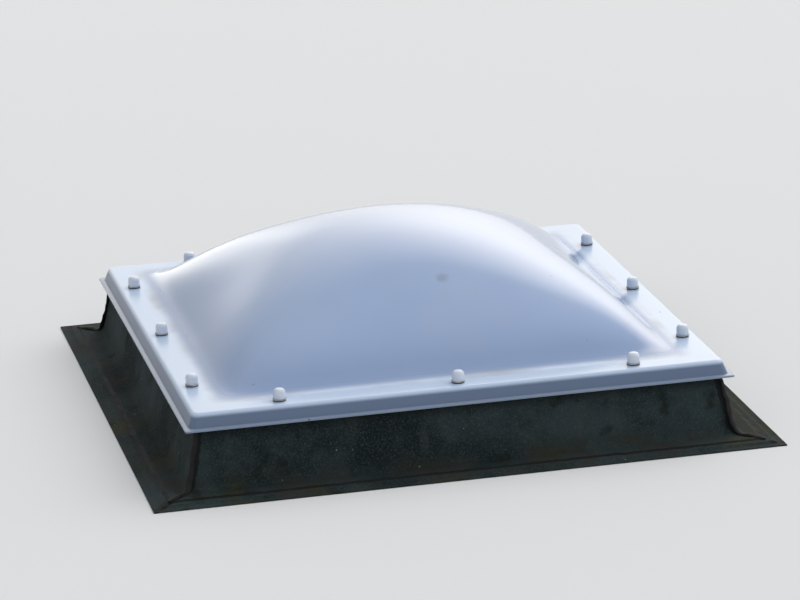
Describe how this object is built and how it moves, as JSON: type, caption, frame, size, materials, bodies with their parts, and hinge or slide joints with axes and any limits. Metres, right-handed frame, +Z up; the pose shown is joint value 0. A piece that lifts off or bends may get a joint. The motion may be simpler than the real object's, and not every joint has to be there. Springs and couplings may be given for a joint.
{
  "type": "roof skylight",
  "caption": "Fixed square roof skylight: double-skin opal dome screwed to a felted, insulated curb, with capped rim screws and a base flange.",
  "frame": {"origin": "middle of the curb's underside, on the roof deck", "axes": "+Z up through the dome's crown, -Y the front side seen in the picture, +X the right side; all four sides are alike"},
  "size_m": [1.318, 1.318, 0.3849],
  "materials": {
    "opal_acrylic": "opal white blown acrylic, glossy, lightly weathered",
    "inner_acrylic": "opal white blown acrylic, glossy and clean",
    "cap_plastic": "white moulded plastic, glossy",
    "cap_base_plastic": "white moulded plastic with dirt round its edge",
    "washer_rubber": "black sealing rubber",
    "screw_steel": "stainless steel",
    "spacer_foam": "grey closed-cell foam strip",
    "gasket_rubber": "black sponge rubber",
    "curb_moulding": "pale glass-fibre moulding, matt",
    "lining_moulding": "white glass-fibre sheet, satin",
    "timber": "planed softwood",
    "insulation_foam": "rigid yellow foam, fine cells",
    "roofing_felt": "mineral-surfaced bitumen felt, dark green-grey, weathered",
    "bitumen": "black bitumen, semi-gloss"
  },
  "bodies": {
    "root": {"cap_bases": "cap_base_plastic", "corner_seams": "bitumen", "curb_gasket": "gasket_rubber", "curb_shell": "curb_moulding", "flashing_back": "roofing_felt", "flashing_front": "roofing_felt", "flashing_left": "roofing_felt", "flashing_right": "roofing_felt", "inner_dome": "inner_acrylic", "inner_lining": "lining_moulding", "insulation_back": "insulation_foam", "insulation_front": "insulation_foam", "insulation_left": "insulation_foam", "insulation_right": "insulation_foam", "outer_dome": "opal_acrylic", "rim_screws": "screw_steel", "screw_batten_back": "timber", "screw_batten_front": "timber", "screw_batten_left": "timber", "screw_batten_right": "timber", "screw_caps": "cap_plastic", "sealing_washers": "washer_rubber", "shell_spacer": "spacer_foam"}
  },
  "joints": []
}
